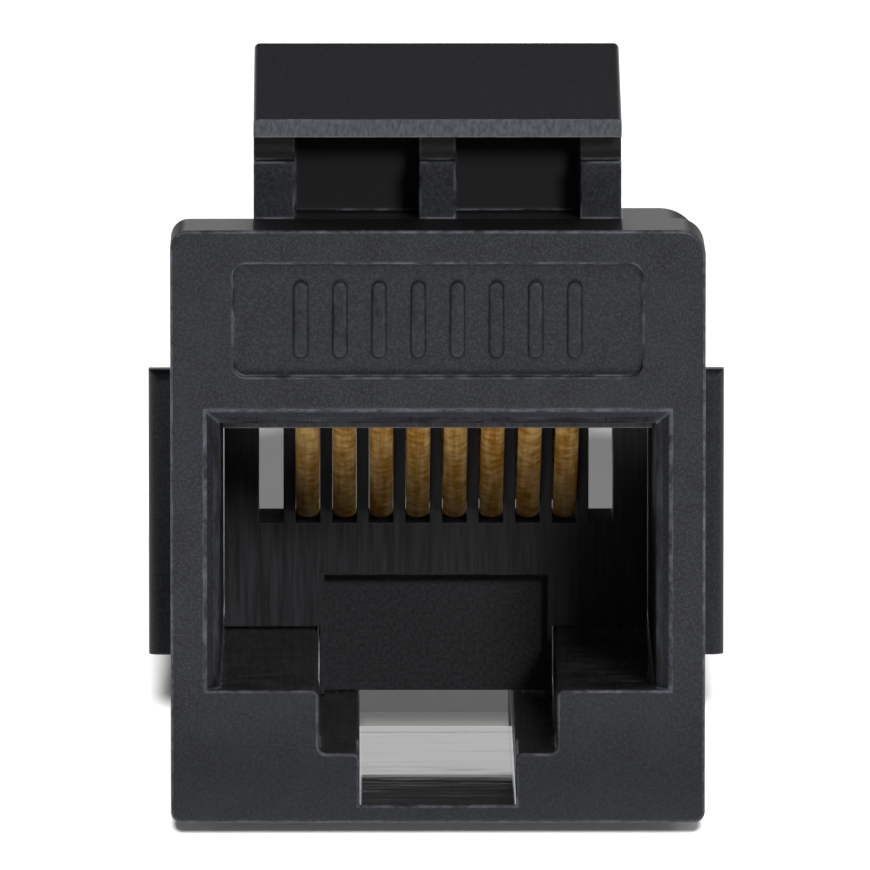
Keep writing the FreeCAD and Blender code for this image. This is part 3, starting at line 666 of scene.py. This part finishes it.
def wire_shape(tail):
    """A closed wire from the end of its tail to its tip, in the plane x = 0."""
    shape = bmesh.new()
    bmesh.ops.create_circle(shape, cap_ends=False, segments=RING_POINTS, radius=0.5)
    bmesh.ops.scale(shape, vec=(WIRE_WIDTH, WIRE_THICKNESS, 1), verts=shape.verts[:])
    bmesh.ops.translate(shape, vec=tail, verts=shape.verts[:])
    ring = shape.edges[:]
    bmesh.ops.holes_fill(shape, edges=ring)
    bend_level = RUN_LEVEL + BEND_RADIUS
    ring = lead(shape, ring, (0, 0, bend_level - tail.z))
    ring = turn(shape, ring, (0, tail.y - BEND_RADIUS, bend_level), -QUARTER_TURN, BEND_STEPS)
    ring = lead(shape, ring, (0, NOSE_CENTRE.y - tail.y + BEND_RADIUS, 0))
    ring = turn(shape, ring, NOSE_CENTRE, math.pi - SLOPE, NOSE_STEPS)
    along = Vector((0, math.cos(SLOPE), -math.sin(SLOPE)))
    leave = NOSE_CENTRE - Vector((0, math.sin(SLOPE), math.cos(SLOPE))) * NOSE_RADIUS
    ring = lead(shape, ring, along * ((TIP - leave).length - TIP_LENGTH))
    for index in range(1, TIP_RINGS):
        lean = QUARTER_TURN * index / TIP_RINGS
        before = QUARTER_TURN * (index - 1) / TIP_RINGS
        ring = lead(shape, ring, along * (TIP_LENGTH * (math.sin(lean) - math.sin(before))))
        points = list({point for edge in ring for point in edge.verts})
        shrink = math.cos(lean) / math.cos(before)
        bmesh.ops.scale(shape, vec=(shrink, shrink, shrink), verts=points,
                        space=Matrix.Translation(-middle_of(points)))
    bmesh.ops.holes_fill(shape, edges=ring)
    bmesh.ops.recalc_face_normals(shape, faces=shape.faces[:])
    return shape


print("rings round the nose:", NOSE_STEPS, "each of", RING_POINTS, "points")

# %% [markdown]
# ### Sixteen wires in their places
# A few short functions put a new object into the scene, here and below. The bmesh operators
# may list the faces of a shape in another order each time, so they are sorted by place, and
# every run gives the same mesh. Each wire rides on the housing and replaces the solid whose
# box gave its place. The rear ones are turned half way round, because the two ends of the
# coupler are alike.


# %% Place the sixteen wires
def add_object(name, data):
    """Put a mesh, a light or a camera into the scene."""
    made = bpy.data.objects.new(name, data)
    bpy.context.scene.collection.objects.link(made)
    return made


def sort_by_place(items):
    """Put the vertices, edges or faces of a bmesh in the order of where they lie."""
    placed = sorted(items, key=lambda item: tuple(middle_of(getattr(item, "verts", [item]))))
    ranks = {item: rank for rank, item in enumerate(placed)}
    items.sort(key=ranks.get)


def add_shape(name, shape, material):
    """Turn a finished bmesh into a smooth-shaded object of one material."""
    for items in (shape.verts, shape.edges, shape.faces):
        sort_by_place(items)
    mesh = bpy.data.meshes.new(name)
    shape.to_mesh(mesh)
    shape.free()
    for face in mesh.polygons:
        face.use_smooth = True
    mesh.materials.append(material)
    return add_object(name, mesh)


def wire(name):
    """One rounded wire in the place of a CAD contact."""
    low, high = (Vector(corner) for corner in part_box(name))
    end, _, number = name.split("_")
    tail = FIRST_TAIL + Vector((0, STAGGER * ((int(number) - 1) % 2), 0))
    shape = wire_shape(tail)
    turned = Matrix.Rotation(math.pi if end == "rear" else 0, 4, "Z")
    side = Matrix.Translation(((low.x + high.x) / 2, 0, 0))
    bmesh.ops.transform(shape, matrix=side @ turned, verts=shape.verts[:])
    made = add_shape(f"spring_wire_{end}_{number}", shape, gold_wire)
    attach(made, "housing")
    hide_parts(name)
    return made


contacts = sorted(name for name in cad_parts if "_contact_" in name and "block" not in name)
wires = [wire(name) for name in contacts]
print("wires:", len(wires), "faces in each:", len(wires[0].data.polygons))

# %% [markdown]
# ## Circuit board: green solder mask
# The board hides under the roof. Only its edges and its underside show through the sockets,
# so its finish is simple: a semi-gloss green lacquer over woven glass.

# %% Green solder mask over glass weave
LACQUER_DARK = "#0e3b22"
LACQUER_PALE = "#15502f"
WEAVE_MM = 0.5
LACQUER_CLOUD_MM = 2.0
LACQUER_ROUGHNESS = 0.32
WEAVE_BUMP = 0.1
WEAVE_RELIEF = 0.01 * MM


def board_mask():
    made, tree = new_material("green_solder_mask_fr4")
    place = node(tree, "ShaderNodeTexCoord").outputs["Object"]
    weave = node(tree, "ShaderNodeTexChecker",
                 {"Vector": place, "Scale": waves_per_metre(WEAVE_MM)})
    patches = node(tree, "ShaderNodeTexNoise",
                   {"Vector": place, "Scale": waves_per_metre(LACQUER_CLOUD_MM)})
    tone = node(tree, "ShaderNodeMix", {"Factor": patches.outputs["Fac"],
                                        "A": colour(LACQUER_DARK),
                                        "B": colour(LACQUER_PALE)}, data_type="RGBA")
    bump = node(tree, "ShaderNodeBump", {"Strength": WEAVE_BUMP, "Distance": WEAVE_RELIEF,
                                         "Height": weave.outputs["Fac"]})
    shader = node(tree, "ShaderNodeBsdfPrincipled",
                  {"Base Color": tone.outputs["Result"], "Roughness": LACQUER_ROUGHNESS,
                   "Normal": bump.outputs["Normal"]})
    node(tree, "ShaderNodeOutputMaterial", {"Surface": shader.outputs["BSDF"]})
    return made


solder_mask = board_mask()
finish_node("circuit_board", solder_mask)
print("board:", solder_mask.name)

# %% [markdown]
# ## Raised marks in the field
# The shallow field above the socket carries plain raised marks, one round-ended bar for each
# of the eight contacts. One bar starts as a flat disc. Its halves are moved apart to make the
# round-ended outline, the face is extruded towards the front, and its rim is bevelled as a
# moulded mark's is. The other seven are copies of it in the same bmesh.

# %% Shape of one mark
MARKS = 8
MARK_WIDTH = 0.42 * MM
MARK_HEIGHT = 2.1 * MM
MARK_RISE = 0.17 * MM
MARK_PITCH = 1.06 * MM
MARK_POINTS = 24
MARK_ROUNDING = 0.08 * MM
ROUNDING_STEPS = 3
FIELD_MIDDLE = FACE_TOP - 2.45 * MM
FIELD_DEPTH = 0.25 * MM


def raised_marks():
    """All the marks as one object, standing on the floor of the field."""
    shape = bmesh.new()
    rim = bmesh.ops.create_circle(shape, cap_ends=True, segments=MARK_POINTS,
                                  radius=MARK_WIDTH / 2)["verts"]
    upper = [point for point in rim if point.co.y > 0]
    lower = [point for point in rim if point.co.y <= 0]
    straight = (MARK_HEIGHT - MARK_WIDTH) / 2
    bmesh.ops.translate(shape, verts=upper, vec=(0, straight, 0))
    bmesh.ops.translate(shape, verts=lower, vec=(0, -straight, 0))
    raised = bmesh.ops.extrude_face_region(shape, geom=shape.faces[:])["geom"]
    top = [item for item in raised if isinstance(item, bmesh.types.BMVert)]
    bmesh.ops.translate(shape, verts=top, vec=(0, 0, MARK_RISE))
    edge_loop = [edge for edge in shape.edges if all(point in top for point in edge.verts)]
    bmesh.ops.bevel(shape, geom=edge_loop, offset=MARK_ROUNDING, segments=ROUNDING_STEPS,
                    profile=0.5, affect="EDGES", material=-1)
    one = shape.verts[:] + shape.edges[:] + shape.faces[:]
    for index in range(1, MARKS):
        copy = bmesh.ops.duplicate(shape, geom=one)["geom"]
        points = [item for item in copy if isinstance(item, bmesh.types.BMVert)]
        bmesh.ops.translate(shape, verts=points, vec=(index * MARK_PITCH, 0, 0))
    upright = Matrix.Rotation(QUARTER_TURN, 4, "X")
    first = -(MARKS - 1) / 2 * MARK_PITCH
    seat = Matrix.Translation((first, FACE_Y + FIELD_DEPTH + HAIR, FIELD_MIDDLE))
    bmesh.ops.transform(shape, matrix=seat @ upright, verts=shape.verts[:])
    bmesh.ops.recalc_face_normals(shape, faces=shape.faces[:])
    return add_shape("contact_marks", shape, black_abs)


marks = raised_marks()
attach(marks, "housing")
print("marks:", MARKS, "faces:", len(marks.data.polygons))

# %% [markdown]
# ## Studio
# The floor is plain white card, lit by a sun of its own in the next step. The camera and
# mirror images see it as it is. Diffuse light off the part meets a darker floor, which keeps
# the foot of the face from glowing. The card ends a few millimetres in front of the face, so
# that a lamp low in front can shine up past its edge. The part's rear half stands on a small
# grey pad, cut smaller than the part, which is painted shade: its grey and faint glow stand
# in for the shadowed floor, and take the glare out of the sunlight that slips under the
# socket wall.

# %% Floor
FLOOR_PAPER = "#ededeb"
FLOOR_BOUNCE = "#505050"
FLOOR_GLOW = 0.055
CARD_REACH = 1.5
CARD_LEAD = 6 * MM
PAD_SHADE_PAPER = "#5c5b58"
PAD_SHADE_GLOW = 0.14
PAD_HALF = 7 * MM
PAD_FRONT = -5 * MM
PAD_BACK = 13.3 * MM
PAD_LEVEL = 0.01 * MM


def card_paint(name, paper_hex, glow_level):
    """Matte card that glows a little, and is darker to diffuse light off the part."""
    made, tree = new_material(name)
    rays = node(tree, "ShaderNodeLightPath")
    paper = node(tree, "ShaderNodeBsdfDiffuse", {"Color": colour(paper_hex)})
    glow = node(tree, "ShaderNodeEmission", {"Color": (1, 1, 1, 1), "Strength": glow_level})
    lit = node(tree, "ShaderNodeAddShader", {0: paper.outputs[0], 1: glow.outputs[0]})
    dim = node(tree, "ShaderNodeBsdfDiffuse", {"Color": colour(FLOOR_BOUNCE)})
    mixed = node(tree, "ShaderNodeMixShader", {0: rays.outputs["Is Diffuse Ray"],
                                               1: lit.outputs[0], 2: dim.outputs[0]})
    node(tree, "ShaderNodeOutputMaterial", {"Surface": mixed.outputs[0]})
    return made


def lay_card(name, low, high, level, paint):
    """A rectangle of card on the floor between two corners."""
    card = bmesh.new()
    size = Vector((high[0] - low[0], high[1] - low[1], 0)) / 2
    bmesh.ops.create_grid(card, x_segments=1, y_segments=1, size=1.0)
    bmesh.ops.scale(card, vec=(size.x, size.y, 1), verts=card.verts[:])
    bmesh.ops.translate(card, vec=(low[0] + size.x, low[1] + size.y, level), verts=card.verts[:])
    made = add_shape(name, card, paint)
    return made


floor = lay_card("studio_floor", (-CARD_REACH, FACE_Y - CARD_LEAD), (CARD_REACH, 2 * CARD_REACH),
                 0.0, card_paint("white_card_floor", FLOOR_PAPER, FLOOR_GLOW))
# Painted shade: a grey, faintly glowing pad stands in for the floor in the part's shadow.
shade_pad = lay_card("painted_shade_pad", (-PAD_HALF, PAD_FRONT), (PAD_HALF, PAD_BACK), PAD_LEVEL,
               card_paint("painted_shade_card", PAD_SHADE_PAPER, PAD_SHADE_GLOW))
print("floor:", floor.name, shade_pad.name)

# %% [markdown]
# ### A sun for the floor alone
# One low sun shines from straight in front, so the open floor is white and the part's own
# shadow falls straight behind it. That shadow is the grey that shows through the comb; under
# the socket wall it falls on the grey pad, which adds painted shade. Receiver linking keeps
# this sun off the part.

# %% Sun for the floor alone
FLOOR_SUN = 19.0
SUN_ELEVATION = math.radians(12.3)
SUN_SIZE = math.radians(2.2)


def away_from_part(azimuth, elevation):
    """Unit direction from the part; azimuth 0 is straight in front, positive to the right."""
    return Vector((math.sin(azimuth) * math.cos(elevation),
                   -math.cos(azimuth) * math.cos(elevation), math.sin(elevation)))


def look_back(made, away):
    """Turn a light or a camera to look back along a direction."""
    made.rotation_euler = away.to_track_quat("Z", "Y").to_euler()


floor_only = bpy.data.collections.new("floor_only")
floor_only.objects.link(floor)
floor_only.objects.link(shade_pad)
sun = bpy.data.lights.new("floor_sun", "SUN")
sun.energy = FLOOR_SUN
sun.angle = SUN_SIZE
floor_sun = add_object("floor_sun", sun)
look_back(floor_sun, away_from_part(0.0, SUN_ELEVATION))
floor_sun.light_linking.receiver_collection = floor_only

# %% [markdown]
# ### The air
# The air is white to the camera. Behind the part it is white in mirror images too, as a low
# white backdrop is, and everything else in them is a dim studio. As a lamp it is a weak
# bluish sky, which keeps the black plastic readable in the shadows.

# %% Air
SKY_TINT = "#e8ecf2"
SKY_LEVEL = 0.06
BACKDROP_TOP = 0.27
BACKDROP_BLUR = 0.08
BACKDROP_SIDE_BLUR = 0.3


def studio_air():
    """White to the camera and low behind the part, and a weak sky to everything else."""
    made = bpy.data.worlds.new("studio_air")
    made.use_nodes = True
    made.node_tree.nodes.clear()
    tree = made.node_tree
    rays = node(tree, "ShaderNodeLightPath")
    seen = either(tree, rays.outputs["Is Camera Ray"], rays.outputs["Is Transmission Ray"])
    way = node(tree, "ShaderNodeSeparateXYZ",
               {"Vector": node(tree, "ShaderNodeTexCoord").outputs["Generated"]})
    low = node(tree, "ShaderNodeMapRange", {"Value": way.outputs["Z"], "From Min": BACKDROP_TOP,
                                            "From Max": BACKDROP_TOP - BACKDROP_BLUR})
    behind = node(tree, "ShaderNodeMapRange", {"Value": way.outputs["Y"],
                                               "From Max": BACKDROP_SIDE_BLUR})
    board = node(tree, "ShaderNodeMath", {0: low.outputs["Result"], 1: behind.outputs["Result"]},
                 operation="MULTIPLY")
    mirrored = node(tree, "ShaderNodeMath", {0: rays.outputs["Is Glossy Ray"],
                                             1: board.outputs[0]}, operation="MULTIPLY")
    sky = node(tree, "ShaderNodeBackground", {"Color": colour(SKY_TINT), "Strength": SKY_LEVEL})
    backdrop = node(tree, "ShaderNodeBackground", {"Color": (1, 1, 1, 1), "Strength": 1.0})
    mixed = node(tree, "ShaderNodeMixShader", {0: either(tree, seen, mirrored.outputs[0]),
                                               1: sky.outputs[0], 2: backdrop.outputs[0]})
    node(tree, "ShaderNodeOutputWorld", {"Surface": mixed.outputs[0]})
    return made


bpy.context.scene.world = studio_air()
print("air:", bpy.context.scene.world.name)

# %% [markdown]
# ## Lights
# A soft key stands close and high, so that the lip of the latch shades the posts and pockets
# under it. A second lamp, lower at the front right, reaches the left of the back wall inside
# the socket and leaves the right of it dark. A weak card of light low in front shines up into
# the socket and brings out the gold wires. Two weak fills at the rear corners keep the part
# readable all round, and neither reaches the face.

# %% Place the soft lights
AIM = Vector((0, FACE_Y + 6 * MM, 9 * MM))
# azimuth and elevation in degrees, distance and diameter in metres, power in watts
SOFT_LIGHTS = {
    "key": (15, 48, 0.15, 0.05, 0.032),
    "socket_lamp": (17, 20, 0.2, 0.04, 0.095),
    "low_card": (-6, -34, 0.4, 0.2, 0.6),
    "left_fill": (-125, 12, 0.5, 0.3, 0.22),
    "right_fill": (125, 12, 0.5, 0.3, 0.22),
}


def soft_light(name, azimuth, elevation, distance, size, power):
    """A round area light on a sphere about the part, turned to face it."""
    lamp = bpy.data.lights.new(name, "AREA")
    lamp.shape = "DISK"
    lamp.size = size
    lamp.energy = power
    away = away_from_part(math.radians(azimuth), math.radians(elevation))
    made = add_object(name, lamp)
    made.location = AIM + away * distance
    look_back(made, away)


for name, values in SOFT_LIGHTS.items():
    soft_light(name, *values)

# %% [markdown]
# ## Camera
# The part is looked at almost square on, from a little above, through a very long lens, so
# that near and far edges keep almost the same size.

# %% Place the camera
LENS_MM = 764
CAMERA_DISTANCE = 500 * MM
CAMERA_AZIMUTH = math.radians(-0.25)
CAMERA_ELEVATION = math.radians(7.5)
LOOK_AT = Vector((-0.08 * MM, FACE_Y, FACE_TOP - 5.57 * MM))
NEAREST_SEEN = 0.01
FARTHEST_SEEN = 20

lens = bpy.data.cameras.new("camera")
lens.lens = LENS_MM
lens.clip_start = NEAREST_SEEN
lens.clip_end = FARTHEST_SEEN
camera = add_object("camera", lens)
back = away_from_part(CAMERA_AZIMUTH, CAMERA_ELEVATION)
camera.location = LOOK_AT + back * CAMERA_DISTANCE
look_back(camera, back)
bpy.context.scene.camera = camera
bpy.context.scene.view_settings.view_transform = "Standard"
print("camera at", [round(value, 3) for value in camera.location])
